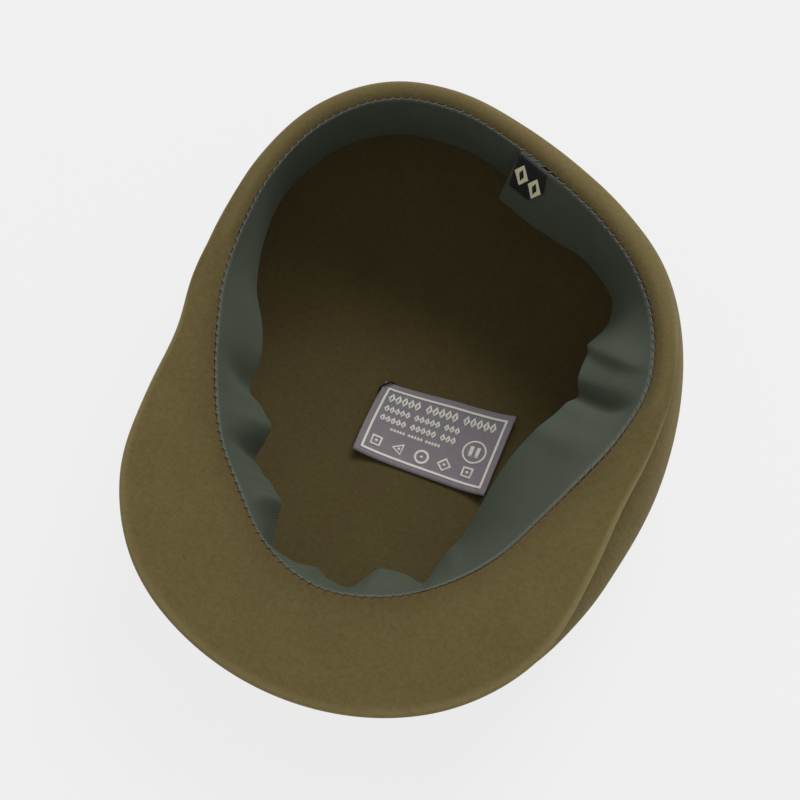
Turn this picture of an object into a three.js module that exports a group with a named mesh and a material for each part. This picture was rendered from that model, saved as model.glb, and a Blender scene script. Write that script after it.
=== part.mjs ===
// A flat cap of moulded wool felt, lying upside down on its crown.
// Crown, turned rim and peak are one piece of felt. A grosgrain ribbon is sewn along the
// edge of the opening, with a size tag at its lapped ends, and a woven care label is
// tacked to the inside of the crown.
// Millimetres. +Z is up, the peak points to -Y, and the origin is the middle of the flat
// patch of the crown that the cap lies on. A bearing is the angle in degrees from the
// middle of the peak, turning towards +X.

import * as THREE from 'three';

// The opening, an oval that lies higher at the back than at the front.
const OPENING_LENGTH = 192;
const OPENING_WIDTH = 171;
const OPENING_HEIGHT = 70;
const OPENING_TILT = 10;

// The felt: its wall, the peak that is two layers pressed together, and the rolled rim.
const FELT = 2.2;
const PEAK_THICKNESS = 3;
const PEAK_LENGTH = 45;
const PEAK_LIFT = 5;
const PEAK_HOLLOW = 1.2;
const CROWN_OVERHANG = 34;
const RIM_ROLL = 5;
const RIM_CREST = 1.8;
const GROOVE_NECK = 3;
const GROOVE_GAP = 2.4;
const REST_LENGTH = 132;
const REST_WIDTH = 118;
const CORNER_FULLNESS = 2.35;
const SHOULDER_FULLNESS = 2.15;

// The ribbon, its lap at the back, and the clearance that sewn pieces keep.
const RIBBON_WIDTH = 31;
const RIBBON_THICKNESS = 1;
const RIBBON_DROP = 0.4;
const LAP_BEARING = 180.5;
const LAP_LENGTH = 16;
const LAP_SLANT = 5.5;
const CLEARANCE = 0.3;

// The size tag, the care label and the thread that tacks it.
const TAG_WIDTH = 14;
const TAG_DEPTH = 17.5;
const TAG_THICKNESS = 1;
const TAG_BEARING = 172.8;
const TAG_DROP = 1.2;
const LABEL_LENGTH = 58;
const LABEL_WIDTH = 36;
const LABEL_THICKNESS = 1;
const LABEL_CENTRE_X = 9;
const LABEL_CENTRE_Y = -1;
const LABEL_TURN = 4;
const LABEL_CURL = 3.5;
const TACK_THREAD = 0.9;
const TACK_SPAN = 7.5;

// How finely the shapes are divided.
const SECTION_COUNT = 72;
const CURVE_POINTS = 6;

// One row for each section of the felt. opening is a share of the oval's radius there,
// overhang of CROWN_OVERHANG, reach of PEAK_LENGTH and lift of PEAK_LIFT. peak says how
// far the section is a peak (1) or a rolled rim (0), and bulge is the height of the
// widest place of the crown, as a share of the opening's height.
const SECTION_COLUMNS = ['bearing', 'opening', 'overhang', 'reach', 'peak', 'lift', 'bulge'];
const SECTIONS = [
  [0, 0.997, 0.91, 0.965, 1.0, 0.4, 0.44],
  [15, 0.986, 0.94, 1.005, 1.0, 0.5, 0.44],
  [30, 0.96, 1.0, 1.03, 1.0, 0.7, 0.45],
  [45, 0.935, 1.0, 0.93, 1.0, 0.6, 0.46],
  [60, 0.909, 0.94, 0.665, 1.0, 0.0, 0.48],
  [75, 0.926, 0.765, 0.43, 1.0, -0.4, 0.5],
  [90, 0.986, 0.57, 0.31, 0.8, -0.5, 0.52],
  [105, 1.046, 0.405, 0.24, 0.4, -0.2, 0.55],
  [120, 1.042, 0.42, 0.22, 0.1, 0.0, 0.57],
  [135, 1.002, 0.49, 0.22, 0.0, 0.0, 0.58],
  [150, 0.954, 0.51, 0.22, 0.0, 0.0, 0.58],
  [165, 0.935, 0.51, 0.22, 0.0, 0.0, 0.58],
  [180, 0.973, 0.475, 0.22, 0.0, 0.0, 0.58],
  [195, 1.059, 0.43, 0.22, 0.0, 0.0, 0.58],
  [210, 1.137, 0.405, 0.22, 0.0, 0.0, 0.58],
  [225, 1.142, 0.435, 0.22, 0.0, 0.0, 0.58],
  [240, 1.09, 0.455, 0.22, 0.1, 0.0, 0.57],
  [255, 1.019, 0.495, 0.24, 0.4, -0.2, 0.55],
  [270, 0.967, 0.51, 0.31, 0.8, -0.5, 0.52],
  [285, 0.915, 0.62, 0.36, 1.0, -0.4, 0.5],
  [300, 0.894, 0.88, 0.605, 1.0, 0.0, 0.48],
  [315, 0.898, 0.98, 0.91, 1.0, 0.6, 0.46],
  [330, 0.906, 1.0, 1.09, 1.0, 0.7, 0.45],
  [345, 0.962, 0.95, 1.02, 1.0, 0.5, 0.44],
];

// How far the ribbon's free edge leans into the opening, as a share of its width, from
// the end that lies underneath at the back, round by the front, to the end on top.
const LEAN_COLUMNS = ['bearing', 'lean'];
const LEANS = [
  [-188, -0.02],
  [-170, -0.06],
  [-150, -0.06],
  [-128, -0.08],
  [-112, 0.08],
  [-100, 0.26],
  [-90, 0.48],
  [-80, 0.52],
  [-70, 0.44],
  [-60, 0.54],
  [-50, 0.62],
  [-39, 0.42],
  [-30, 0.52],
  [-18, 0.29],
  [-9, 0.34],
  [0, 0.42],
  [8, 0.52],
  [18, 0.58],
  [28, 0.52],
  [36, 0.64],
  [48, 0.8],
  [60, 0.88],
  [75, 0.93],
  [95, 0.92],
  [112, 0.88],
  [122, 0.7],
  [131, 0.32],
  [140, 0.1],
  [150, 0.12],
  [160, 0.24],
  [170, 0.3],
  [182, 0.3],
];

const feltMaterial = new THREE.MeshStandardMaterial({ color: 0x62543a, roughness: 0.95, metalness: 0 });
const ribbonMaterial = new THREE.MeshStandardMaterial({ color: 0x484d42, roughness: 0.8, metalness: 0 });
const tagMaterial = new THREE.MeshStandardMaterial({ color: 0x1c1a1c, roughness: 0.75, metalness: 0 });
const labelMaterial = new THREE.MeshStandardMaterial({ color: 0x6b646a, roughness: 0.8, metalness: 0 });
const threadMaterial = new THREE.MeshStandardMaterial({ color: 0x161514, roughness: 0.7, metalness: 0 });

const radians = THREE.MathUtils.degToRad;
const degrees = THREE.MathUtils.radToDeg;
const mix = THREE.MathUtils.lerp;
const sectionTurn = 360 / SECTION_COUNT;

// Reads a table's rows as objects with the names of its columns.
function namedRows(columns, rows) {
  return rows.map((row) => Object.fromEntries(columns.map((name, i) => [name, row[i]])));
}

// The smooth value of one column at a bearing, between rows whose bearings rise.
function smoothValue(rows, column, bearing) {
  const last = rows.length - 1;
  const next = rows.findIndex((row) => row.bearing > bearing);
  const i = THREE.MathUtils.clamp((next < 0 ? rows.length : next) - 1, 0, last - 1);
  const around = [i - 1, i, i + 1, i + 2].map((k) => THREE.MathUtils.clamp(k, 0, last));
  const [before, a, b, after] = around.map((k) => rows[k]);
  const step = b.bearing - a.bearing;
  const slopeA = step * (b[column] - before[column]) / (b.bearing - before.bearing);
  const slopeB = step * (after[column] - a[column]) / (after.bearing - a.bearing);
  const t = THREE.MathUtils.clamp((bearing - a.bearing) / step, 0, 1);
  return (2 * t ** 3 - 3 * t ** 2 + 1) * a[column] + (3 * t ** 2 - 2 * t ** 3) * b[column]
    + (t ** 3 - 2 * t ** 2 + t) * slopeA + (t ** 3 - t ** 2) * slopeB;
}

// Rows of a full turn, with the last and first ones repeated so that the turn closes.
function fullTurn(rows) {
  const before = rows.slice(-2).map((row) => ({ ...row, bearing: row.bearing - 360 }));
  const after = rows.slice(0, 2).map((row) => ({ ...row, bearing: row.bearing + 360 }));
  return [...before, ...rows, ...after];
}

const sectionRows = fullTurn(namedRows(SECTION_COLUMNS, SECTIONS));
const leanRows = namedRows(LEAN_COLUMNS, LEANS);

// The radius of an oval of this length and width at a bearing.
function ovalRadius(length, width, bearing) {
  const across = Math.sin(radians(bearing)) / (width / 2);
  const along = Math.cos(radians(bearing)) / (length / 2);
  return 1 / Math.hypot(across, along);
}

// The height of the opening's plane at a radius and bearing.
function planeHeight(radius, bearing) {
  const y = -Math.cos(radians(bearing)) * radius;
  return OPENING_HEIGHT + y * Math.tan(radians(OPENING_TILT));
}

// A point of the cap from its radius, bearing and height.
function placed(radius, bearing, height) {
  const turn = radians(bearing);
  return new THREE.Vector3(Math.sin(turn) * radius, -Math.cos(turn) * radius, height);
}

// Points of a quarter of a superellipse, from its side (start) to its top (end).
function quarter(centre, reach, rise, fullness, from, to, count) {
  const points = [];
  for (let i = 0; i < count; i += 1) {
    const turn = radians(mix(from, to, count === 1 ? 0 : i / (count - 1)));
    const out = Math.cos(turn) ** (2 / fullness);
    const up = Math.sin(turn) ** (2 / fullness);
    points.push([centre[0] + reach * out, centre[1] + rise * up]);
  }
  return points;
}

// Points on the straight line from a to b, without its ends.
function between(a, b, count) {
  return Array.from({ length: count }, (_, i) => {
    const t = (i + 1) / (count + 1);
    return [mix(a[0], b[0], t), mix(a[1], b[1], t)];
  });
}

// The same points lowered towards the middle, so that the peak is a little hollow.
function hollowed(points) {
  return points.map(([out, up], i) => {
    const t = (i + 1) / (points.length + 1);
    return [out, up - PEAK_HOLLOW * 4 * t * (1 - t)];
  });
}

// What every section of the felt needs at one bearing.
function sectionSizes(bearing) {
  const turned = THREE.MathUtils.euclideanModulo(bearing, 360);
  const value = (column) => smoothValue(sectionRows, column, turned);
  const edge = ovalRadius(OPENING_LENGTH, OPENING_WIDTH, bearing) * value('opening');
  const edgeHeight = planeHeight(edge, bearing);
  const tip = edge + PEAK_LENGTH * value('reach');
  return {
    edge,
    edgeHeight,
    flat: ovalRadius(REST_LENGTH, REST_WIDTH, bearing),
    bulge: edge + CROWN_OVERHANG * value('overhang'),
    bulgeHeight: edgeHeight * value('bulge'),
    tip,
    tipHeight: planeHeight(tip, bearing) + PEAK_LIFT * value('lift'),
    peak: THREE.MathUtils.clamp(value('peak'), 0, 1),
  };
}

// The upper outside of a section where the felt only rolls in to the opening: a quarter
// turn from the widest place up to the crest, and down to the edge.
function rimOutside(size) {
  const centre = [size.edge + RIM_ROLL, size.bulgeHeight];
  const reach = size.bulge - centre[0];
  const rise = size.edgeHeight + RIM_CREST - size.bulgeHeight;
  return {
    shoulder: quarter(centre, reach, rise, 2, 9, 42, CURVE_POINTS),
    groove: quarter(centre, reach, rise, 2, 48, 53, 2),
    peak: [
      ...quarter(centre, reach, rise, 2, 57, 90, 9),
      [size.edge + RIM_ROLL * 0.4, size.edgeHeight + RIM_CREST * 0.7],
      [size.edge, size.edgeHeight],
    ],
  };
}

// The same place where the section is a peak: the shoulder of the crown, the groove, and
// the peak out to its rounded tip and back to the edge of the opening.
function peakOutside(size) {
  const neck = size.edge + GROOVE_NECK;
  const peakUnder = size.edgeHeight - PEAK_THICKNESS;
  const grooveFloor = peakUnder - GROOVE_GAP;
  const half = PEAK_THICKNESS / 2;
  const tip = [size.tip - half, size.tipHeight - half];
  const underStart = [neck + GROOVE_GAP * 0.3, peakUnder];
  const underEnd = [tip[0], tip[1] - half];
  const topStart = [tip[0], tip[1] + half];
  const edge = [size.edge, size.edgeHeight];
  return {
    shoulder: quarter([neck, size.bulgeHeight], size.bulge - neck, grooveFloor - size.bulgeHeight,
      SHOULDER_FULLNESS, 12, 76, CURVE_POINTS),
    groove: [
      [neck + GROOVE_GAP * 0.1, grooveFloor + GROOVE_GAP * 0.2],
      [neck, peakUnder - GROOVE_GAP * 0.3],
    ],
    peak: [
      underStart,
      ...hollowed(between(underStart, underEnd, 1)),
      underEnd,
      [tip[0] + half * 0.87, tip[1] - half * 0.5],
      [tip[0] + half * 0.87, tip[1] + half * 0.5],
      topStart,
      ...hollowed(between(topStart, edge, 4)),
      edge,
    ],
  };
}

// Points of a line that rises and turns in, moved inside by the felt's thickness.
function insideOf(points) {
  return points.slice(1, -1).map(([out, up], i) => {
    const along = [points[i + 2][0] - points[i][0], points[i + 2][1] - points[i][1]];
    const scale = FELT / Math.hypot(...along);
    return [out - along[1] * scale, up + along[0] * scale];
  });
}

// Mixes two lists of points one by one.
function blend(a, b, share) {
  return a.map((point, i) => [mix(point[0], b[i][0], share), mix(point[1], b[i][1], share)]);
}

// The felt's inside next to the opening: under the roll of a rim, or under a peak's neck.
function mouthInside(size, rim) {
  const crest = size.edgeHeight + RIM_CREST;
  const rolled = [
    [size.edge, size.edgeHeight - FELT],
    [size.edge + RIM_ROLL, crest - FELT],
    ...insideOf([rim.peak[0], rim.peak[2], rim.peak[4], rim.peak[6]]).reverse(),
  ];
  const foot = size.edgeHeight - PEAK_THICKNESS - GROOVE_GAP - FELT;
  const neck = [0, 0.3, 0.6, 0.9].map((share) => [size.edge + GROOVE_NECK * share, foot]);
  return blend(rolled, neck, size.peak);
}

// The corner of the crown, from the flat patch up to the widest place.
function corner(flat, bottom, bulge, bulgeHeight) {
  const centre = [flat, bulgeHeight];
  const points = quarter(
    centre,
    bulge - flat,
    bottom - bulgeHeight,
    CORNER_FULLNESS,
    0,
    90,
    CURVE_POINTS + 1,
  );
  return points.reverse();
}

// The whole closed outline of the felt at a bearing, from the flat patch round the
// outside to the opening, and down the inside to the floor.
function feltSection(bearing) {
  const size = sectionSizes(bearing);
  const rim = rimOutside(size);
  const front = peakOutside(size);
  const shoulder = blend(rim.shoulder, front.shoulder, size.peak);
  const groove = blend(rim.groove, front.groove, size.peak);
  const peak = blend(rim.peak, front.peak, size.peak);
  const outer = corner(size.flat, 0, size.bulge, size.bulgeHeight);
  const inner = corner(size.flat, FELT, size.bulge - FELT, size.bulgeHeight).reverse();
  const inside = insideOf([outer.at(-1), ...shoulder, groove[0]]).reverse();
  return [...outer, ...shoulder, ...groove, ...peak, ...mouthInside(size, rim), ...inside, ...inner];
}

// Joins rings of points into a closed mesh. Each ring is one section; the strip of
// sections closes on itself, or ends in two flat caps.
function loft(rings, closed) {
  const size = rings[0].length;
  const positions = rings.flat().flatMap((p) => [p.x, p.y, p.z]);
  const faces = [];
  const last = closed ? rings.length : rings.length - 1;
  for (let i = 0; i < last; i += 1) {
    const next = (i + 1) % rings.length;
    for (let k = 0; k < size; k += 1) {
      const l = (k + 1) % size;
      faces.push(i * size + k, next * size + k, next * size + l);
      faces.push(i * size + k, next * size + l, i * size + l);
    }
  }
  if (!closed) {
    const end = (rings.length - 1) * size;
    for (let k = 1; k < size - 1; k += 1) {
      faces.push(0, k, k + 1);
      faces.push(end, end + k + 1, end + k);
    }
  }
  return meshFrom(positions, faces);
}

function meshFrom(positions, faces) {
  const geometry = new THREE.BufferGeometry();
  geometry.setAttribute('position', new THREE.Float32BufferAttribute(positions, 3));
  geometry.setIndex(faces);
  geometry.computeVertexNormals();
  return geometry;
}

// The felt body: sections all the way round, closed by the flat patch below and the
// floor inside the crown.
function feltBody() {
  const bearings = Array.from({ length: SECTION_COUNT }, (_, i) => i * sectionTurn);
  const rings = bearings.map((b) => feltSection(b).map(([radius, height]) => placed(radius, b, height)));
  const size = rings[0].length;
  const positions = rings.flat().flatMap((p) => [p.x, p.y, p.z]);
  const under = positions.length / 3;
  positions.push(0, 0, 0, 0, 0, FELT);
  const faces = [];
  for (let i = 0; i < rings.length; i += 1) {
    const next = (i + 1) % rings.length;
    for (let k = 0; k < size - 1; k += 1) {
      faces.push(i * size + k, next * size + k, next * size + k + 1);
      faces.push(i * size + k, next * size + k + 1, i * size + k + 1);
    }
    faces.push(under, next * size, i * size);
    faces.push(under + 1, i * size + size - 1, next * size + size - 1);
  }
  return meshFrom(positions, faces);
}

// The angle that a length along the opening's edge takes up at a bearing.
function turnOf(length, bearing) {
  return degrees(length / sectionSizes(bearing).edge);
}

const lapTurn = turnOf(LAP_LENGTH, LAP_BEARING);
const slantTurn = turnOf(LAP_SLANT, LAP_BEARING);

// The bearing of a point of the ribbon, whose end at the lap is cut on the slant: its
// upper corner stands back from its lower one, and the cloth beside it follows.
function slanted(bearing, share) {
  const near = THREE.MathUtils.clamp(1 - (LAP_BEARING - bearing) / (4 * slantTurn), 0, 1);
  return bearing - slantTurn * near * (1 - share);
}

// A point of the ribbon: its bearing, the share of its width below the sewn edge, and
// the distance from its middle towards the inside of the opening.
function ribbonPoint(bearing, share, inward) {
  const size = sectionSizes(bearing);
  const lean = RIBBON_WIDTH * smoothValue(leanRows, 'lean', bearing);
  const drop = Math.sqrt(RIBBON_WIDTH ** 2 - lean ** 2);
  const lapDepth = RIBBON_THICKNESS + CLEARANCE;
  const lapStart = LAP_BEARING - 3 * lapTurn;
  const lapped = THREE.MathUtils.smoothstep(bearing, lapStart, LAP_BEARING - lapTurn);
  const out = size.edge - CLEARANCE - RIBBON_THICKNESS / 2 - lapDepth * lapped;
  const normal = [-drop / RIBBON_WIDTH, lean / RIBBON_WIDTH];
  return placed(
    out - lean * share + normal[0] * inward,
    bearing,
    size.edgeHeight - RIBBON_DROP - drop * share + normal[1] * inward,
  );
}

// The bearings of the felt's sections from one bearing down to another, with both ends.
function bearingsDown(from, to) {
  const bearings = [from];
  const first = Math.ceil(from / sectionTurn - 1) * sectionTurn;
  for (let b = first; b > to; b -= sectionTurn) bearings.push(b);
  return [...bearings, to];
}

// A patch of cloth on the ribbon's course: a closed solid between two bearings and two
// shares of the width, with its middle this far inward of the ribbon's middle. It
// follows the slant of the ribbon's end, or has upright ends.
function ribbonPatch(from, to, top, bottom, rows, inward, thickness, follows) {
  const rings = [];
  for (const bearing of bearingsDown(from, to)) {
    const outer = [];
    const inner = [];
    for (let k = 0; k <= rows; k += 1) {
      const share = mix(top, bottom, k / rows);
      const course = follows ? slanted(bearing, share) : bearing;
      outer.push(ribbonPoint(course, share, inward - thickness / 2));
      inner.unshift(ribbonPoint(course, share, inward + thickness / 2));
    }
    rings.push([...outer, ...inner]);
  }
  return loft(rings, false);
}

function sweatband() {
  const under = LAP_BEARING - 360 - lapTurn;
  return ribbonPatch(LAP_BEARING, under, 0, 1, 4, 0, RIBBON_THICKNESS, true);
}

function sizeTag() {
  const half = turnOf(TAG_WIDTH / 2, TAG_BEARING);
  const top = TAG_DROP / RIBBON_WIDTH;
  const bottom = (TAG_DROP + TAG_DEPTH) / RIBBON_WIDTH;
  const inward = RIBBON_THICKNESS / 2 + CLEARANCE + TAG_THICKNESS / 2;
  const start = TAG_BEARING + half;
  return ribbonPatch(start, start - 2 * half, top, bottom, 3, inward, TAG_THICKNESS, false);
}

// A point of the label from its own axes, curled up towards its two short ends.
function labelPoint(x, y, above) {
  const turn = radians(LABEL_TURN);
  const curl = LABEL_CURL * (2 * x / LABEL_LENGTH) ** 4;
  return new THREE.Vector3(
    LABEL_CENTRE_X + x * Math.cos(turn) - y * Math.sin(turn),
    LABEL_CENTRE_Y + x * Math.sin(turn) + y * Math.cos(turn),
    FELT + CLEARANCE + curl + above,
  );
}

function careLabel() {
  const steps = 12;
  const rings = [];
  for (let i = 0; i <= steps; i += 1) {
    const x = mix(-LABEL_LENGTH / 2, LABEL_LENGTH / 2, i / steps);
    const side = LABEL_WIDTH / 2;
    rings.push([
      labelPoint(x, -side, 0),
      labelPoint(x, -side, LABEL_THICKNESS),
      labelPoint(x, side, LABEL_THICKNESS),
      labelPoint(x, side, 0),
    ]);
  }
  return loft(rings, false);
}

// The tack: one thread that comes out of the felt, crosses the label's corner and goes
// back in.
function labelTack() {
  const inset = TACK_SPAN * 0.17;
  const corner = labelPoint(-LABEL_LENGTH / 2 + inset, LABEL_WIDTH / 2 - inset, LABEL_THICKNESS);
  const radius = TACK_THREAD / 2;
  const over = corner.z + LABEL_CURL * 0.4 + CLEARANCE + TACK_THREAD;
  const foot = FELT + CLEARANCE;
  const across = new THREE.Vector3(1, 1, 0).normalize().multiplyScalar(TACK_SPAN / 2);
  const path = new THREE.CatmullRomCurve3([
    new THREE.Vector3(corner.x - across.x, corner.y - across.y, foot + radius),
    new THREE.Vector3(corner.x - across.x * 0.8, corner.y - across.y * 0.8, over),
    new THREE.Vector3(corner.x + across.x * 0.8, corner.y + across.y * 0.8, over),
    new THREE.Vector3(corner.x + across.x, corner.y + across.y, foot + radius),
  ]);
  const section = new THREE.Shape();
  section.absarc(0, 0, radius, 0, 2 * Math.PI, false);
  return new THREE.ExtrudeGeometry(section, { steps: 12, curveSegments: 3, extrudePath: path });
}

function named(name, geometry, material) {
  const mesh = new THREE.Mesh(geometry, material);
  mesh.name = name;
  return mesh;
}

const cap = new THREE.Group();
cap.add(named('felt_body', feltBody(), feltMaterial));
cap.add(named('sweatband', sweatband(), ribbonMaterial));
cap.add(named('size_tag', sizeTag(), tagMaterial));
cap.add(named('care_label', careLabel(), labelMaterial));
cap.add(named('label_tack', labelTack(), threadMaterial));

export default cap;
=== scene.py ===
import math

import bmesh
import bpy
from mathutils import Matrix, Vector, noise


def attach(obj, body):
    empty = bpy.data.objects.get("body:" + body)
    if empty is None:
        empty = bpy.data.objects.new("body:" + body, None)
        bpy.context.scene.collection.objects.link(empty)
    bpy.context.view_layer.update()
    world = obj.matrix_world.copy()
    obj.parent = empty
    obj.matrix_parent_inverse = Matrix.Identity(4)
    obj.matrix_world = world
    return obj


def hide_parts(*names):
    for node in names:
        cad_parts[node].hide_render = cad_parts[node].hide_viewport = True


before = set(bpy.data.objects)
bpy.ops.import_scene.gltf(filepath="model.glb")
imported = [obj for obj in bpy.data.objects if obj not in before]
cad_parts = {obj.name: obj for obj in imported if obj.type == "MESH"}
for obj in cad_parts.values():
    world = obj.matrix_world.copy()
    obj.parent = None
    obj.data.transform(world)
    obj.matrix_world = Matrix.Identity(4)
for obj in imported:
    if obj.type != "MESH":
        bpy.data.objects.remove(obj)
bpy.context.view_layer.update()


# The studio. The cap lies on a white table that is lit from below, as for a catalogue,
# in a weak even light. One large soft box stands low behind it. So the inside of its
# back wall stays dark, and the inside of its front wall is lit.
TABLE_HALF = 40.0
TABLE_DROP = 0.0003
TABLE_COLOUR = (0.08, 0.08, 0.08, 1.0)
TABLE_GLOW = 0.804
WHITE = (1.0, 1.0, 1.0, 1.0)
AIR_LIGHT = 0.4
SOFT_BOX_PLACE = Vector((0.15, 1.75, 1.85))
SOFT_BOX_AIM = Vector((0.0, 0.0, 0.03))
SOFT_BOX_SIZE = 1.5
SOFT_BOX_POWER = 42.0
CAMERA_AIM = Vector((0.0003, -0.01623, 0.06213))
AZIMUTH = math.radians(24)
ELEVATION = math.radians(66)
CAMERA_DISTANCE = 0.95
CAMERA_LENS = 111.03
CAMERA_SENSOR = 36.0
CLOTH_SPECULAR = 0.25
CLOTH_SHEEN_ROUGHNESS = 0.45


def add_node(tree, kind, settings=None, inputs=None):
    """Adds a node. An input is given a value, or the output that leads to it."""
    node = tree.nodes.new(kind)
    for name, value in (settings or {}).items():
        setattr(node, name, value)
    for name, value in (inputs or {}).items():
        socket = node.inputs[name]
        if isinstance(value, bpy.types.NodeSocket):
            tree.links.new(value, socket)
        else:
            socket.default_value = value
    return node


def cloth_finish(name, roughness, sheen=0.0, sheen_tint=WHITE):
    material = bpy.data.materials.new(name)
    material.use_nodes = True
    shader = material.node_tree.nodes["Principled BSDF"]
    shader.inputs["Roughness"].default_value = roughness
    shader.inputs["Specular IOR Level"].default_value = CLOTH_SPECULAR
    shader.inputs["Sheen Weight"].default_value = sheen
    shader.inputs["Sheen Roughness"].default_value = CLOTH_SHEEN_ROUGHNESS
    shader.inputs["Sheen Tint"].default_value = sheen_tint
    return material, material.node_tree, shader


def finished_piece(name, form, material):
    mesh = bpy.data.meshes.new(name)
    for face in form.faces:
        face.smooth = True
    form.to_mesh(mesh)
    form.free()
    mesh.materials.append(material)
    piece = bpy.data.objects.new(name, mesh)
    bpy.context.scene.collection.objects.link(piece)
    return piece


table_paint, paint_tree, paint_shader = cloth_finish("table_paint", 0.9)
paint_shader.inputs["Base Color"].default_value = TABLE_COLOUR
paint_shader.inputs["Specular IOR Level"].default_value = 0.0
paint_shader.inputs["Emission Color"].default_value = WHITE
paint_shader.inputs["Emission Strength"].default_value = TABLE_GLOW

table_form = bmesh.new()
bmesh.ops.create_grid(table_form, x_segments=4, y_segments=4, size=TABLE_HALF)
bmesh.ops.translate(table_form, verts=table_form.verts, vec=(0.0, 0.0, -TABLE_DROP))
table_top = finished_piece("table_top", table_form, table_paint)

studio = bpy.context.scene
studio.view_settings.view_transform = "Standard"
studio.world = bpy.data.worlds.new("studio_air")
studio.world.use_nodes = True
studio_air = studio.world.node_tree.nodes["Background"]
studio_air.inputs["Color"].default_value = WHITE
studio_air.inputs["Strength"].default_value = AIR_LIGHT

soft_box = bpy.data.lights.new("soft_box_back", "AREA")
soft_box.shape = "SQUARE"
soft_box.size = SOFT_BOX_SIZE
soft_box.energy = SOFT_BOX_POWER
soft_box_stand = bpy.data.objects.new("soft_box_back", soft_box)
soft_box_stand.location = SOFT_BOX_PLACE
soft_box_stand.rotation_mode = "QUATERNION"
soft_box_stand.rotation_quaternion = (SOFT_BOX_AIM - SOFT_BOX_PLACE).to_track_quat("-Z", "Y")
studio.collection.objects.link(soft_box_stand)

camera = bpy.data.cameras.new("camera")
camera.lens = CAMERA_LENS
camera.sensor_width = CAMERA_SENSOR
towards = Vector((
    math.sin(AZIMUTH) * math.cos(ELEVATION),
    -math.cos(AZIMUTH) * math.cos(ELEVATION),
    math.sin(ELEVATION),
))
camera_stand = bpy.data.objects.new("camera", camera)
camera_stand.location = CAMERA_AIM + towards * CAMERA_DISTANCE
camera_stand.rotation_mode = "QUATERNION"
camera_stand.rotation_quaternion = (-towards).to_track_quat("-Z", "Y")
studio.collection.objects.link(camera_stand)
studio.camera = camera_stand


# The cap itself: one piece of olive wool felt, steamed and pressed over a block, so that
# crown, turned rim and peak have no seam. It lies upside down on its crown, and its
# sections are set out by bearing, which is the angle from the middle of the peak.
OPENING_LENGTH = 0.192
OPENING_WIDTH = 0.171
OPENING_HEIGHT = 0.070
OPENING_TILT = math.radians(10)
FELT = 0.0022
PEAK_THICKNESS = 0.003
PEAK_LENGTH = 0.045
PEAK_LIFT = 0.005
PEAK_HOLLOW = 0.0012
CROWN_OVERHANG = 0.034
RIM_ROLL = 0.005
RIM_CREST = 0.0018
GROOVE_NECK = 0.003
GROOVE_GAP = 0.0024
REST_LENGTH = 0.132
REST_WIDTH = 0.118
CORNER_FULLNESS = 2.35
SHOULDER_FULLNESS = 2.15
ROUND = 2
CURVE_POINTS = 6
FELT_SECTIONS = 96
FELT_UNEVEN = 0.0007
LIP_ROUNDING = 0.0006
INSIDE_POINTS = 15
FELT_SEED = 5
GROOVE_POINTS = slice(12, 17)

# The arcs of the section: first degree, last degree and number of points. The places
# on them are shares of the rim's roll and crest, of the groove's gap and of half the
# thickness of the peak.
RIM_ARCS = ((9, 42, CURVE_POINTS), (48, 53, 2), (57, 90, 9))
RIM_DIP = (0.4, 0.7)
SHOULDER_ARC = (12, 76, CURVE_POINTS)
GROOVE_MOUTH = 0.3
GROOVE_FLOOR = (0.1, 0.2)
TIP_CORNER = (0.87, 0.5)
TIP_SUPPORT = 0.28
NECK_SHARES = (0, 0.3, 0.6, 0.9)
FLOOR_RINGS = (0.62, 0.5)

# The unevenness of the felt: the scales of its broad and its fine waves, and the heights
# between which it is full.
UNEVEN_BROAD = 24.0
UNEVEN_FINE = 55.0
UNEVEN_FINE_SHARE = 0.35
UNEVEN_LEAST = 0.35
UNEVEN_RISE = 0.02
UNEVEN_TOP = 0.052
UNEVEN_FOOT = 0.006

# Painted highlight: the felt is painted lighter along the edge of the peak and on the
# turned rim's crest, where light catches them. Painted shade: it is painted darker inside
# the crown, on the rim's inner slope, beside the seam of the ribbon and in the groove,
# where shade falls.
PEAK_BEGINS = 0.5
SEAM_BEGINS = 0.4
TIP_HIGHLIGHT_DEPTH = 0.0012
TIP_HIGHLIGHT_INSET = 0.0006
TIP_HIGHLIGHT_HALF = 0.0017
RIM_HIGHLIGHT_DEPTH = 0.009
RIM_HIGHLIGHT_HALF = 0.0036
RIM_HIGHLIGHT = 0.22
RIM_INSIDE_REACH = 1.5 * RIM_ROLL
SEAM_DEPTH = 0.0025
SEAM_REACH = 0.008
SEAM_PAINTED_SHADE = 0.42
GROOVE_PAINTED_SHADE = 0.6

FELT_SHEEN = (0.62, 0.55, 0.28, 1.0)
FELT_DARK = (0.141, 0.098, 0.037, 1.0)
FELT_LIGHT = (0.168, 0.133, 0.046, 1.0)
# The colour and strength of the painted highlight, and how dark the painted shade makes the felt.
FELT_PAINTED_HIGHLIGHT = (0.30, 0.24, 0.105, 1.0)
PAINTED_HIGHLIGHT_STRENGTH = 0.95
PAINTED_SHADE_FACTOR = 0.65

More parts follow.
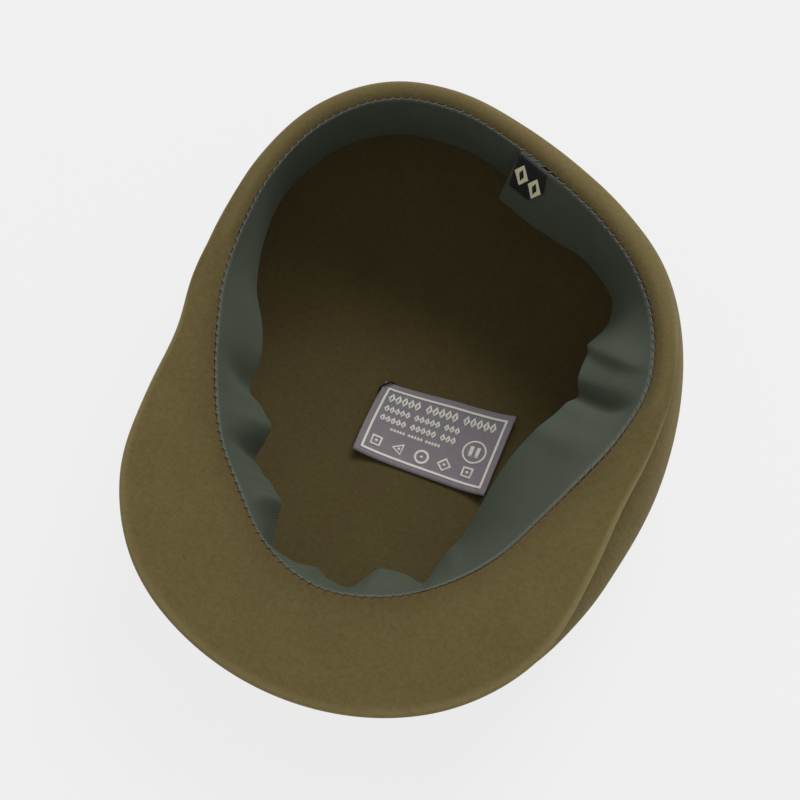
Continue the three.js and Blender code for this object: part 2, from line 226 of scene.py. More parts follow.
SECTION_COLUMNS = ("bearing", "opening", "overhang", "reach", "peak", "lift", "bulge")
SECTIONS = [
    (0, 0.997, 0.91, 0.965, 1.0, 0.4, 0.44),
    (15, 0.986, 0.94, 1.005, 1.0, 0.5, 0.44),
    (30, 0.96, 1.01, 1.03, 1.0, 0.7, 0.45),
    (45, 0.935, 1.035, 0.93, 1.0, 0.6, 0.46),
    (60, 0.909, 0.94, 0.665, 1.0, 0.0, 0.48),
    (75, 0.926, 0.765, 0.43, 1.0, -0.4, 0.5),
    (90, 0.986, 0.57, 0.31, 0.8, -0.5, 0.52),
    (105, 1.046, 0.405, 0.24, 0.4, -0.2, 0.55),
    (120, 1.042, 0.42, 0.22, 0.1, 0.0, 0.57),
    (135, 1.002, 0.49, 0.22, 0.0, 0.0, 0.58),
    (150, 0.954, 0.51, 0.22, 0.0, 0.0, 0.58),
    (165, 0.935, 0.51, 0.22, 0.0, 0.0, 0.58),
    (180, 0.973, 0.475, 0.22, 0.0, 0.0, 0.58),
    (195, 1.059, 0.43, 0.22, 0.0, 0.0, 0.58),
    (210, 1.137, 0.405, 0.22, 0.0, 0.0, 0.58),
    (225, 1.142, 0.435, 0.22, 0.0, 0.0, 0.58),
    (240, 1.09, 0.455, 0.22, 0.1, 0.0, 0.57),
    (255, 1.019, 0.495, 0.24, 0.4, -0.2, 0.55),
    (270, 0.967, 0.51, 0.31, 0.8, -0.5, 0.52),
    (285, 0.915, 0.62, 0.36, 1.0, -0.4, 0.5),
    (300, 0.894, 0.88, 0.605, 1.0, 0.0, 0.48),
    (315, 0.898, 0.98, 0.91, 1.0, 0.6, 0.46),
    (330, 0.906, 1.0, 1.09, 1.0, 0.7, 0.45),
    (345, 0.962, 0.95, 1.02, 1.0, 0.5, 0.44),
]


def row_value(rows, column, bearing):
    """The smooth value of a column between the rows of a table whose bearings rise."""
    last = len(rows) - 1
    i = max(0, min(last - 1, sum(row[0] <= bearing for row in rows) - 1))
    a, b = rows[i], rows[i + 1]
    before, after = rows[max(0, i - 1)], rows[min(last, i + 2)]
    step = b[0] - a[0]
    slope_a = step * (b[column] - before[column]) / (b[0] - before[0])
    slope_b = step * (after[column] - a[column]) / (after[0] - a[0])
    t = max(0.0, min(1.0, (bearing - a[0]) / step))
    return (
        (2 * t**3 - 3 * t**2 + 1) * a[column]
        + (3 * t**2 - 2 * t**3) * b[column]
        + (t**3 - 2 * t**2 + t) * slope_a
        + (t**3 - t**2) * slope_b
    )


turned_rows = (
    [(row[0] - 360, *row[1:]) for row in SECTIONS[-2:]]
    + SECTIONS
    + [(row[0] + 360, *row[1:]) for row in SECTIONS[:2]]
)


def oval_radius(length, width, bearing):
    turn = math.radians(bearing)
    return 1 / math.hypot(math.sin(turn) / (width / 2), math.cos(turn) / (length / 2))


def plane_height(radius, bearing):
    return OPENING_HEIGHT - math.cos(math.radians(bearing)) * radius * math.tan(OPENING_TILT)


def on_bearing(radius, bearing, height):
    turn = math.radians(bearing)
    return Vector((math.sin(turn) * radius, -math.cos(turn) * radius, height))


def quarter(centre, reach, rise, fullness, start, end, count):
    """Points of a quarter of a rounded square, from its side towards its top."""
    points = []
    for i in range(count):
        turn = math.radians(start + (end - start) * i / max(1, count - 1))
        out = max(0.0, math.cos(turn)) ** (2 / fullness)
        up = math.sin(turn) ** (2 / fullness)
        points.append(centre + Vector((reach * out, rise * up)))
    return points


def between(a, b, count):
    return [a.lerp(b, (i + 1) / (count + 1)) for i in range(count)]


def hollowed(points):
    shares = [(i + 1) / (len(points) + 1) for i in range(len(points))]
    return [p - Vector((0, PEAK_HOLLOW * 4 * t * (1 - t))) for p, t in zip(points, shares)]


def inside_of(points):
    moved = []
    for before, point, after in zip(points, points[1:], points[2:]):
        along = (after - before).normalized() * FELT
        moved.append(point + Vector((-along.y, along.x)))
    return moved


def blend(a, b, share):
    return [p.lerp(q, share) for p, q in zip(a, b)]


class FeltPlace:
    """The sizes of the felt's section at one bearing."""

    def __init__(self, bearing):
        value = {
            name: row_value(turned_rows, i, bearing % 360)
            for i, name in enumerate(SECTION_COLUMNS)
        }
        self.edge = oval_radius(OPENING_LENGTH, OPENING_WIDTH, bearing) * value["opening"]
        self.edge_height = plane_height(self.edge, bearing)
        self.flat = oval_radius(REST_LENGTH, REST_WIDTH, bearing)
        self.bulge = self.edge + CROWN_OVERHANG * value["overhang"]
        self.bulge_height = self.edge_height * value["bulge"]
        self.tip = self.edge + PEAK_LENGTH * value["reach"]
        self.tip_height = plane_height(self.tip, bearing) + PEAK_LIFT * value["lift"]
        self.peak = max(0.0, min(1.0, value["peak"]))


def rim_outside(at):
    """Shoulder, upper shoulder and turned rim, where there is no peak."""
    centre = Vector((at.edge + RIM_ROLL, at.bulge_height))
    reach = at.bulge - centre.x
    rise = at.edge_height + RIM_CREST - at.bulge_height
    shoulder, upper, roll = (quarter(centre, reach, rise, ROUND, *arc) for arc in RIM_ARCS)
    dip = Vector((at.edge + RIM_ROLL * RIM_DIP[0], at.edge_height + RIM_CREST * RIM_DIP[1]))
    return shoulder, upper, [*roll, dip, Vector((at.edge, at.edge_height))]


def peak_outside(at):
    """Shoulder, groove and peak, with as many points as the rim has."""
    neck = at.edge + GROOVE_NECK
    under = at.edge_height - PEAK_THICKNESS
    groove_floor = under - GROOVE_GAP
    half = PEAK_THICKNESS / 2
    tip = Vector((at.tip - half, at.tip_height - half))
    under_start = Vector((neck + GROOVE_GAP * GROOVE_MOUTH, under))
    under_end = tip - Vector((0, half))
    top_start = tip + Vector((0, half))
    edge = Vector((at.edge, at.edge_height))
    shoulder = quarter(
        Vector((neck, at.bulge_height)),
        at.bulge - neck,
        groove_floor - at.bulge_height,
        SHOULDER_FULLNESS,
        *SHOULDER_ARC,
    )
    groove = [
        Vector((neck + GROOVE_GAP * GROOVE_FLOOR[0], groove_floor + GROOVE_GAP * GROOVE_FLOOR[1])),
        Vector((neck, under - GROOVE_GAP * GROOVE_MOUTH)),
    ]
    peak = [
        under_start,
        *hollowed(between(under_start, under_end, 1)),
        under_end,
        tip + Vector((half * TIP_CORNER[0], -half * TIP_CORNER[1])),
        tip + Vector((half * TIP_CORNER[0], half * TIP_CORNER[1])),
        top_start,
        *hollowed(between(top_start, edge, 4)),
        edge,
    ]
    return shoulder, groove, peak


def mouth_inside(at, rim_peak):
    """The inside just under the edge: the turned rim's back, or the peak's root."""
    crest = at.edge_height + RIM_CREST
    rolled = [
        Vector((at.edge, at.edge_height - FELT)),
        Vector((at.edge + RIM_ROLL, crest - FELT)),
        *reversed(inside_of(rim_peak[0:8:2])),
    ]
    foot = at.edge_height - PEAK_THICKNESS - GROOVE_GAP - FELT
    neck = [Vector((at.edge + GROOVE_NECK * share, foot)) for share in NECK_SHARES]
    return blend(rolled, neck, at.peak)


def crown_corner(flat, bottom, bulge, bulge_height):
    points = quarter(
        Vector((flat, bulge_height)),
        bulge - flat,
        bottom - bulge_height,
        CORNER_FULLNESS,
        0,
        90,
        CURVE_POINTS + 1,
    )
    return points[::-1]


def felt_section(bearing):
    """The felt's whole outline at a bearing, from the flat patch that it lies on, round
    the outside to the opening, and down the inside to the floor of the crown."""
    at = FeltPlace(bearing)
    rim, front = rim_outside(at), peak_outside(at)
    shoulder, groove, peak = (blend(a, b, at.peak) for a, b in zip(rim, front))
    outer = crown_corner(at.flat, 0.0, at.bulge, at.bulge_height)
    inner = crown_corner(at.flat, FELT, at.bulge - FELT, at.bulge_height)[::-1]
    inside = inside_of([outer[-1], *shoulder, groove[0]])[::-1]
    mouth = mouth_inside(at, rim[2])
    lip_out = peak[-1].lerp(peak[-2], LIP_ROUNDING / (peak[-1] - peak[-2]).length)
    lip_in = peak[-1].lerp(mouth[0], LIP_ROUNDING / (peak[-1] - mouth[0]).length)
    under = peak[:2] + between(peak[1], peak[2], 1) + peak[2:6]
    upper = [peak[5].lerp(peak[6], TIP_SUPPORT), *peak[6:-1], lip_out, peak[-1], lip_in]
    return outer + shoulder + groove + under + upper + mouth + inside + inner


def felt_uneven(place):
    """Hand-pressed felt is nowhere quite even, least of all half way up the crown."""
    up_from_floor = min(1.0, place.z / UNEVEN_RISE)
    down_from_top = min(1.0, max(0.0, (UNEVEN_TOP - place.z) / UNEVEN_RISE))
    share = UNEVEN_LEAST + (1 - UNEVEN_LEAST) * (up_from_floor * down_from_top)
    field = noise.noise_vector(place * UNEVEN_BROAD)
    field += noise.noise_vector(place * UNEVEN_FINE) * UNEVEN_FINE_SHARE
    return place + field * FELT_UNEVEN * share * min(1.0, place.z / UNEVEN_FOOT)


def chain_edges(form, chain, closed=False):
    following = chain[1:] + chain[:1] if closed else chain[1:]
    return [form.edges.get(pair) for pair in zip(chain, following)]


def start_chain(form, places):
    chain = [form.verts.new(place) for place in places]
    for pair in zip(chain, chain[1:]):
        form.edges.new(pair)
    return chain


def drawn_on(form, chain, places, closed=False):
    """Extrudes a chain of edges, or a closed ring, and sets the new one on these places."""
    grown = bmesh.ops.extrude_edge_only(form, edges=chain_edges(form, chain, closed))["geom"]
    fresh = {part for part in grown if isinstance(part, bmesh.types.BMVert)}
    following = []
    for vert, place in zip(chain, places):
        twin = next(e.other_vert(vert) for e in vert.link_edges if e.other_vert(vert) in fresh)
        twin.co = place
        following.append(twin)
    return following


def open_edges(form):
    return [edge for edge in form.edges if edge.is_boundary]


def inside_share(vert):
    return 1.0 if vert.co.z > FELT / 2 else 0.0


noise.seed_set(FELT_SEED)
felt_form = bmesh.new()
painted_highlight = felt_form.verts.layers.float.new("painted_highlight")
painted_shade = felt_form.verts.layers.float.new("painted_shade")
felt_outlines = []
for i in range(FELT_SECTIONS):
    bearing = 360 * i / FELT_SECTIONS
    felt_outlines.append([felt_uneven(on_bearing(p.x, bearing, p.y)) for p in felt_section(bearing)])
felt_chains = [start_chain(felt_form, felt_outlines[0])]
for places in felt_outlines[1:]:
    felt_chains.append(drawn_on(felt_form, felt_chains[-1], places))
# Painted shade over the inside of the crown's wall.
for chain in felt_chains:
    for vert in chain[-INSIDE_POINTS:]:
        vert[painted_shade] = 1.0
bmesh.ops.bridge_loops(
    felt_form,
    edges=chain_edges(felt_form, felt_chains[-1]) + chain_edges(felt_form, felt_chains[0]),
)
# The floor's rings and middle get painted shade on their inside, and none on the flat patch under them.
for narrowed in FLOOR_RINGS:
    for part in bmesh.ops.extrude_edge_only(felt_form, edges=open_edges(felt_form))["geom"]:
        if isinstance(part, bmesh.types.BMVert):
            part.co.x *= narrowed
            part.co.y *= narrowed
            part[painted_shade] = inside_share(part)
rest_loop = [e for e in open_edges(felt_form) if e.verts[0].co.z < FELT / 2]
bmesh.ops.holes_fill(felt_form, edges=rest_loop, sides=0)
bmesh.ops.holes_fill(felt_form, edges=open_edges(felt_form), sides=0)
felt_centres = [f for f in felt_form.faces if len(f.verts) > 4]
for vert in bmesh.ops.poke(felt_form, faces=felt_centres)["verts"]:
    vert[painted_shade] = inside_share(vert)
bmesh.ops.recalc_face_normals(felt_form, faces=felt_form.faces)

# Painted highlight: a lighter band along the peak's rounded edge and along the rim's crest. Painted
# shade: on the rim's inner slope and on the felt beside the ribbon's seam.
for vert in felt_form.verts:
    radius = math.hypot(vert.co.x, vert.co.y)
    at = FeltPlace(math.degrees(math.atan2(vert.co.x, -vert.co.y)))
    if at.peak > PEAK_BEGINS and vert.co.z > at.tip_height - TIP_HIGHLIGHT_DEPTH:
        vert[painted_highlight] = max(0.0, 1 - abs(radius - at.tip + TIP_HIGHLIGHT_INSET) / TIP_HIGHLIGHT_HALF)
    elif at.peak < PEAK_BEGINS and vert.co.z > at.edge_height - RIM_HIGHLIGHT_DEPTH:
        vert[painted_highlight] = RIM_HIGHLIGHT * max(0.0, 1 - abs(radius - at.edge - RIM_ROLL) / RIM_HIGHLIGHT_HALF)
        inner_slope = (at.edge - radius) / RIM_INSIDE_REACH + 1
        vert[painted_shade] = max(vert[painted_shade], min(1.0, inner_slope))
    if at.peak >= SEAM_BEGINS and vert.co.z > at.edge_height - SEAM_DEPTH:
        beside_seam = (at.edge - radius) / SEAM_REACH + 1
        vert[painted_shade] = max(vert[painted_shade], min(SEAM_PAINTED_SHADE, SEAM_PAINTED_SHADE * beside_seam))
# Painted shade in the groove under the peak's edge, full where there is a peak.
for i, chain in enumerate(felt_chains):
    for vert in chain[GROOVE_POINTS]:
        vert[painted_shade] = max(vert[painted_shade], GROOVE_PAINTED_SHADE * FeltPlace(360 * i / FELT_SECTIONS).peak)


def noise_on(tree, place, scale, detail, roughness=0.5, distortion=0.0):
    """The grey of a noise, from the output that gives the place on the piece."""
    inputs = {
        "Vector": place,
        "Scale": scale,
        "Detail": detail,
        "Roughness": roughness,
        "Distortion": distortion,
    }
    return add_node(tree, "ShaderNodeTexNoise", inputs=inputs).outputs["Fac"]


def attribute_of(tree, name, kind):
    return add_node(tree, "ShaderNodeAttribute", {"attribute_name": name}).outputs[kind]


def mixed(tree, share, first, second):
    inputs = {"Factor": share, 6: first, 7: second}
    return add_node(tree, "ShaderNodeMix", {"data_type": "RGBA"}, inputs).outputs[2]


def ranged(tree, value, low, high, at_low, at_high):
    """A value that goes from at_low to at_high while the given one goes from low to high."""
    inputs = {
        "Value": value,
        "From Min": low,
        "From Max": high,
        "To Min": at_low,
        "To Max": at_high,
    }
    return add_node(tree, "ShaderNodeMapRange", inputs=inputs).outputs["Result"]


def product(tree, first, second):
    return add_node(tree, "ShaderNodeMath", {"operation": "MULTIPLY"}, {0: first, 1: second}).outputs[0]


def shaded(tree, colour, light):
    inputs = {0: colour, "Scale": light}
    return add_node(tree, "ShaderNodeVectorMath", {"operation": "SCALE"}, inputs).outputs[0]


def raised(tree, height, strength, distance, over=None):
    """A relief of this height, over another relief if one is given."""
    inputs = {"Strength": strength, "Distance": distance, "Height": height}
    if over is not None:
        inputs["Normal"] = over
    return add_node(tree, "ShaderNodeBump", inputs=inputs).outputs["Normal"]


def dye(tree, shader, colour, relief=None):
    tree.links.new(colour, shader.inputs["Base Color"])
    if relief is not None:
        tree.links.new(relief, shader.inputs["Normal"])


def rounded(piece, levels):
    rounding = piece.modifiers.new("rounding", "SUBSURF")
    rounding.levels = levels
    rounding.render_levels = levels


felt_cloth, felt_tree, felt_shader = cloth_finish("olive_wool_felt", 0.92, 0.2, FELT_SHEEN)
felt_space = add_node(felt_tree, "ShaderNodeTexCoord").outputs["Object"]
felt_clouds = noise_on(felt_tree, felt_space, 38.0, 4.0, 0.6)
felt_mottle = noise_on(felt_tree, felt_space, 520.0, 5.0, 0.72)
felt_fibres = noise_on(felt_tree, felt_space, 2300.0, 3.0, 0.7, 1.4)
felt_broad = mixed(felt_tree, felt_clouds, FELT_DARK, FELT_LIGHT)
felt_speckle = ranged(felt_tree, felt_mottle, 0.3, 0.7, 0.86, 1.14)
felt_hairs = ranged(felt_tree, felt_fibres, 0.3, 0.7, 0.86, 1.14)
felt_grain = product(felt_tree, felt_speckle, felt_hairs)
# Painted shade: the felt's colour is darkened inside the crown, on the rim's inner slope, beside the
# seam and in the groove.
felt_shade_mask = attribute_of(felt_tree, "painted_shade", "Fac")
felt_painted_shade = ranged(felt_tree, felt_shade_mask, 0.0, 1.0, 1.0, PAINTED_SHADE_FACTOR)
felt_light = product(felt_tree, felt_grain, felt_painted_shade)
felt_grained = shaded(felt_tree, felt_broad, felt_light)
# Painted highlight: the felt's colour is mixed towards a light olive along the peak's edge and the
# rim's crest.
felt_highlight_share = product(felt_tree, attribute_of(felt_tree, "painted_highlight", "Fac"), PAINTED_HIGHLIGHT_STRENGTH)
felt_colour = mixed(felt_tree, felt_highlight_share, felt_grained, FELT_PAINTED_HIGHLIGHT)
felt_nap = raised(felt_tree, felt_mottle, 0.55, 0.0005)
felt_fuzz = raised(felt_tree, felt_fibres, 0.5, 0.0002, felt_nap)
dye(felt_tree, felt_shader, felt_colour, felt_fuzz)

felt_cap = finished_piece("felt_cap", felt_form, felt_cloth)
rounded(felt_cap, 2)
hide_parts("felt_body")
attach(felt_cap, "root")


# The sweatband: a dark green grosgrain ribbon, about 31 mm wide, laid inside the opening
# and stitched along the felt's edge only. Its free edge hangs in waves, leans far in on
# the right, has one tuck there, and its ends lap at the back.
RIBBON_WIDTH = 0.031
RIBBON_THICKNESS = 0.0006
RIBBON_GAP = 0.00016
RIBBON_SHARES = (0.0, 0.015, 0.1, 0.2, 0.3, 0.4, 0.5, 0.6, 0.7, 0.8, 0.9, 0.985, 1.0)
RIBBON_STEP = 0.65
RIB_PITCH = 0.0007
LAP_BEARING = 180.5
LAP_LENGTH = 0.016
LAP_SLANT = 0.0055
SLANT_REACH = 4
RIBBON_SHEEN = (0.6, 0.7, 0.6, 1.0)
RIBBON_DARK = (0.060, 0.074, 0.052, 1.0)
RIBBON_LIGHT = (0.086, 0.100, 0.070, 1.0)
SELVEDGE_COLOUR = (0.17, 0.165, 0.145, 1.0)

# How far the ribbon leans in over its width, as a share of that width: bearing, lean.
LEANS = [
    (-188, -0.02),
    (-170, -0.06),
    (-150, -0.06),
    (-128, -0.08),
    (-112, 0.08),
    (-100, 0.26),
    (-90, 0.48),
    (-80, 0.52),
    (-70, 0.44),
    (-60, 0.54),
    (-50, 0.62),
    (-39, 0.42),
    (-30, 0.52),
    (-18, 0.29),
    (-9, 0.34),
    (0, 0.42),
    (8, 0.52),
    (18, 0.58),
    (28, 0.52),
    (36, 0.64),
    (48, 0.8),
    (60, 0.88),
    (75, 0.93),
    (95, 0.92),
    (112, 0.88),
    (122, 0.7),
    (131, 0.32),
    (140, 0.1),
    (150, 0.12),
    (160, 0.24),
    (170, 0.3),
    (182, 0.3),
]

# Each fold: its bearing at the sewn edge and at the free edge, its spread before and
# after that bearing in degrees, its height, and the share of the width where it is full.
FOLDS = [
    (109.5, 122.5, 1.5, 7.0, 0.0031, 0.5),
    (98.5, 104.5, 3.5, 2.8, -0.0060, 0.5),
    (84.0, 86.0, 6.0, 6.0, 0.0018, 0.5),
    (-68.0, -66.0, 4.5, 4.5, -0.0030, 0.9),
    (-53.0, -51.0, 3.0, 2.5, 0.0012, 0.9),
    (-45.0, -43.5, 3.0, 2.6, -0.0038, 0.9),
    (-33.0, -31.5, 2.2, 2.2, -0.0010, 0.7),
    (-27.0, -25.5, 2.0, 2.2, 0.0030, 0.7),
    (-19.0, -17.0, 3.0, 2.8, -0.0034, 0.7),
    (-6.0, -5.0, 3.0, 3.0, 0.0028, 0.7),
    (5.0, 5.5, 3.6, 2.8, -0.0030, 0.7),
    (12.0, 12.5, 2.4, 5.0, 0.0034, 0.7),
    (25.0, 26.0, 3.6, 2.8, -0.0040, 0.5),
    (34.0, 34.5, 3.0, 3.0, 0.0012, 0.5),
    (146.0, 143.0, 5.0, 5.0, 0.0014, 0.5),
    (-134.0, -131.0, 6.0, 6.0, 0.001, 0.5),
]


def smooth_share(value, low, high):
    t = max(0.0, min(1.0, (value - low) / (high - low)))
    return t * t * (3 - 2 * t)


def fold_height(bearing, share):
    """How far the ribbon stands off its course in its waves and its tuck."""
    total = 0.0
    for sewn, free, before, after, height, full_at in FOLDS:
        offset = bearing - (sewn + (free - sewn) * share**2)
        spread = after if offset > 0 else before
        risen = height * smooth_share(share, 0.0, full_at)
        total += risen * math.exp(-((offset / spread) ** 2))
    return total


lap_turn = math.degrees(LAP_LENGTH / FeltPlace(LAP_BEARING).edge)
slant_turn = math.degrees(LAP_SLANT / FeltPlace(LAP_BEARING).edge)


def ribbon_place(bearing, share, inward):
    """A point of the ribbon: its bearing, the share of its width below the sewn edge,
    and how far it lies from the ribbon's middle towards the inside."""
    at = FeltPlace(bearing)
    lean = RIBBON_WIDTH * row_value(LEANS, 1, bearing)
    drop = math.sqrt(RIBBON_WIDTH**2 - lean**2)
    lapped = smooth_share(bearing, LAP_BEARING - 2 * lap_turn, LAP_BEARING - lap_turn)
    out = at.edge - RIBBON_GAP - RIBBON_THICKNESS / 2 * drop / RIBBON_WIDTH
    out -= (RIBBON_THICKNESS + RIBBON_GAP) * lapped
    return on_bearing(
        out - lean * share - drop / RIBBON_WIDTH * inward,
        bearing,
        at.edge_height - drop * share + lean / RIBBON_WIDTH * inward,
    )


def ribbon_line(bearing):
    """One line across the ribbon. Near the end at the lap, which is cut on the slant, the
    lines turn with it."""
    near = max(0.0, 1 - (LAP_BEARING - bearing) / (SLANT_REACH * slant_turn))
    places = []
    for share in RIBBON_SHARES:
        course = bearing - slant_turn * near * (1 - share)
        places.append(ribbon_place(course, share, fold_height(course, share)))
    return places


ribbon_start = LAP_BEARING
ribbon_end = LAP_BEARING - 360 - lap_turn
ribbon_steps = round((ribbon_start - ribbon_end) / RIBBON_STEP)
ribbon_form = bmesh.new()
ribbon_course = ribbon_form.verts.layers.float_vector.new("ribbon_course")
chain = start_chain(ribbon_form, ribbon_line(ribbon_start))
ribbon_chains = [chain]
for i in range(1, ribbon_steps + 1):
    bearing = ribbon_start + (ribbon_end - ribbon_start) * i / ribbon_steps
    chain = drawn_on(ribbon_form, chain, ribbon_line(bearing))
    ribbon_chains.append(chain)
ribbon_length = 0.0
for i, chain in enumerate(ribbon_chains):
    if i:
        ribbon_length += (chain[0].co - ribbon_chains[i - 1][0].co).length
    for vert, share in zip(chain, RIBBON_SHARES):
        vert[ribbon_course] = (ribbon_length, RIBBON_WIDTH * share, 0.0)
ribbon_form.faces.ensure_lookup_table()
bmesh.ops.recalc_face_normals(ribbon_form, faces=ribbon_form.faces)
ribbon_form.normal_update()
sample = ribbon_form.faces[len(ribbon_form.faces) // 2]
if sample.normal.dot(sample.calc_center_median() * Vector((1.0, 1.0, 0.0))) > 0:
    bmesh.ops.reverse_faces(ribbon_form, faces=ribbon_form.faces)


def woven_wave(tree, along, pitch):
    """A wave along one direction of the cloth, once for each rib or thread."""
    turns = product(tree, along, 2 * math.pi / pitch)
    return add_node(tree, "ShaderNodeMath", {"operation": "SINE"}, {0: turns}).outputs[0]


def give_thickness(piece, thickness):
    wall = piece.modifiers.new("thickness", "SOLIDIFY")
    wall.thickness = thickness
    wall.offset = 0.0


ribbon_cloth, ribbon_tree, ribbon_shader = cloth_finish("green_grosgrain", 0.72, 0.12, RIBBON_SHEEN)
ribbon_map = attribute_of(ribbon_tree, "ribbon_course", "Vector")
ribbon_axes = add_node(ribbon_tree, "ShaderNodeSeparateXYZ", inputs={0: ribbon_map}).outputs
rib_wave = woven_wave(ribbon_tree, ribbon_axes["X"], RIB_PITCH)
ribbon_blur = noise_on(ribbon_tree, ribbon_map, 60.0, 4.0, 0.6)
ribbon_yarn = noise_on(ribbon_tree, ribbon_map, 1900.0, 2.0, 0.6)
rib_light = ranged(ribbon_tree, rib_wave, -1.0, 1.0, 0.965, 1.035)
yarn_light = ranged(ribbon_tree, ribbon_yarn, 0.3, 0.7, 0.85, 1.15)
ribbon_light = product(ribbon_tree, rib_light, yarn_light)
ribbon_ground = mixed(ribbon_tree, ribbon_blur, RIBBON_DARK, RIBBON_LIGHT)
ribbon_selvedge = ranged(ribbon_tree, ribbon_axes["Y"], 0.0008, 0.0019, 0.55, 0.0)
ribbon_edged = mixed(ribbon_tree, ribbon_selvedge, ribbon_ground, SELVEDGE_COLOUR)
ribbon_colour = shaded(ribbon_tree, ribbon_edged, ribbon_light)
ribbon_ribs = raised(ribbon_tree, rib_wave, 0.2, 0.0001)
dye(ribbon_tree, ribbon_shader, ribbon_colour, ribbon_ribs)

ribbon = finished_piece("sweatband_ribbon", ribbon_form, ribbon_cloth)
give_thickness(ribbon, RIBBON_THICKNESS)
rounded(ribbon, 1)
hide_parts("sweatband")
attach(ribbon, "root")


# The sewing that holds the ribbon: slanting overcast stitches of grey-green thread, one
# about every 3.5 mm along the edge of the felt, each going over the ribbon's woven edge
# and into the felt.
STITCH_PITCH = 0.0035
STITCH_HALF = 0.0012
STITCH_THREAD = 0.00026
STITCH_SLANT = math.radians(40)
STITCH_START = -178.5
STITCH_END = 180.5
STITCH_INWARD = 0.0006
STITCH_RAISE = 0.00028
STITCH_LYING = Matrix.Rotation(math.pi / 2, 4, "Y")
WALK_STEP = 0.1
THREAD_SHEEN = 0.1
UP = Vector((0.0, 0.0, 1.0))

stitch_form = bmesh.new()
walked = 0.0
bearing = STITCH_START
previous = on_bearing(FeltPlace(bearing).edge, bearing, FeltPlace(bearing).edge_height)
while bearing < STITCH_END:
    bearing += WALK_STEP
    at = FeltPlace(bearing)
    here = on_bearing(at.edge, bearing, at.edge_height)
    walked += (here - previous).length
    along = (here - previous).normalized()
    previous = here
    if walked < STITCH_PITCH:
        continue
    walked = 0.0
    inward = on_bearing(-1.0, bearing, 0.0)
    lies = (along * math.cos(STITCH_SLANT) + inward * math.sin(STITCH_SLANT)).normalized()
    side = UP.cross(lies).normalized()
    turned = Matrix((lies, side, lies.cross(side))).transposed().to_4x4()
    stitch_size = Matrix.Diagonal((STITCH_HALF, STITCH_THREAD, STITCH_THREAD, 1.0))
    middle = here + inward * STITCH_INWARD + UP * STITCH_RAISE
    laid = Matrix.Translation(middle) @ turned @ stitch_size @ STITCH_LYING
    bmesh.ops.create_uvsphere(
        stitch_form,
        u_segments=8,
        v_segments=6,
        radius=1.0,
        matrix=laid,
    )


def thread_finish(name, roughness, twist, dark, light, relief=None):
    """Twisted thread, darker and lighter along its plies. The relief is its strength and
    its depth."""
    thread, tree, shader = cloth_finish(name, roughness, THREAD_SHEEN)
    space = add_node(tree, "ShaderNodeTexCoord").outputs["Object"]
    plies = noise_on(tree, space, twist, 2.0)
    colour = mixed(tree, plies, dark, light)
    dye(tree, shader, colour, raised(tree, plies, *relief) if relief else None)
    return thread


sewing_thread = thread_finish(
    "sewing_thread",
    0.6,
    2600.0,
    (0.105, 0.110, 0.090, 1.0),
    (0.165, 0.168, 0.142, 1.0),
    (0.5, 0.00015),
)
stitches = finished_piece("edge_stitches", stitch_form, sewing_thread)
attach(stitches, "root")


# The size tag: a small tab of black woven tape, caught under the stitches beside the lap
# of the ribbon, with one lower corner cut off. Two plain lozenges in gold thread stand
# where such a tag has its size.
TAG_WIDTH = 0.014
TAG_DEPTH = 0.0175
TAG_THICKNESS = 0.0005
TAG_BEARING = 172.8
TAG_DROP = 0.0018
TAG_LEAN = 0.0012
TAG_CUT = 0.0062
TAG_CURL = 0.0006
TAG_GRID = 14
TAG_MARKS = [(-0.0037, 0.0082), (0.0037, 0.0097)]
TAG_MARK_HALF = (0.0036, 0.0055)
TAG_MARK_LINE = 0.0023
TAG_MARK_RAISE = 0.00012
MARK_THREAD = 0.0002


def tag_place(across, down, above):
    """A point of the tag from its own two axes and its height over the ribbon."""
    turn = math.degrees(across / FeltPlace(TAG_BEARING).edge)
    share = (TAG_DROP + down) / RIBBON_WIDTH
    inward = RIBBON_THICKNESS / 2 + RIBBON_GAP + above
    curl = TAG_CURL * (down / TAG_DEPTH) ** 2
    return ribbon_place(TAG_BEARING - turn, share, inward + curl)


def tag_across(side, down):
    """How far out a point lies, from -0.5 at the tag's left side to 0.5 at its right one,
    whose lower corner is cut off."""
    left = -TAG_WIDTH / 2 - TAG_LEAN * down / TAG_DEPTH
    cut = max(0.0, 2 * down / TAG_DEPTH - 1)
    right = TAG_WIDTH / 2 + TAG_LEAN * min(1.0, 2 * down / TAG_DEPTH) - TAG_CUT * cut
    return left + (right - left) * (side + 0.5)


tag_form = bmesh.new()
bmesh.ops.create_grid(tag_form, x_segments=TAG_GRID, y_segments=TAG_GRID, size=0.5)
for vert in tag_form.verts:
    down = (0.5 - vert.co.y) * TAG_DEPTH
    vert.co = tag_place(tag_across(vert.co.x, down), down, TAG_THICKNESS / 2)
tag_form.normal_update()

tag_cloth, tag_tree, tag_shader = cloth_finish("black_woven_tape", 0.55, 0.15)
tag_space = add_node(tag_tree, "ShaderNodeTexCoord").outputs["Object"]
tag_weave = add_node(
    tag_tree,
    "ShaderNodeTexVoronoi",
    inputs={"Vector": tag_space, "Scale": 2400.0},
).outputs["Distance"]
tag_colour = mixed(tag_tree, tag_weave, (0.02, 0.019, 0.023, 1.0), (0.006, 0.006, 0.008, 1.0))
dye(tag_tree, tag_shader, tag_colour, raised(tag_tree, tag_weave, 0.5, 0.0002))

tag = finished_piece("size_tab", tag_form, tag_cloth)
give_thickness(tag, TAG_THICKNESS)
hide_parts("size_tag")
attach(tag, "root")


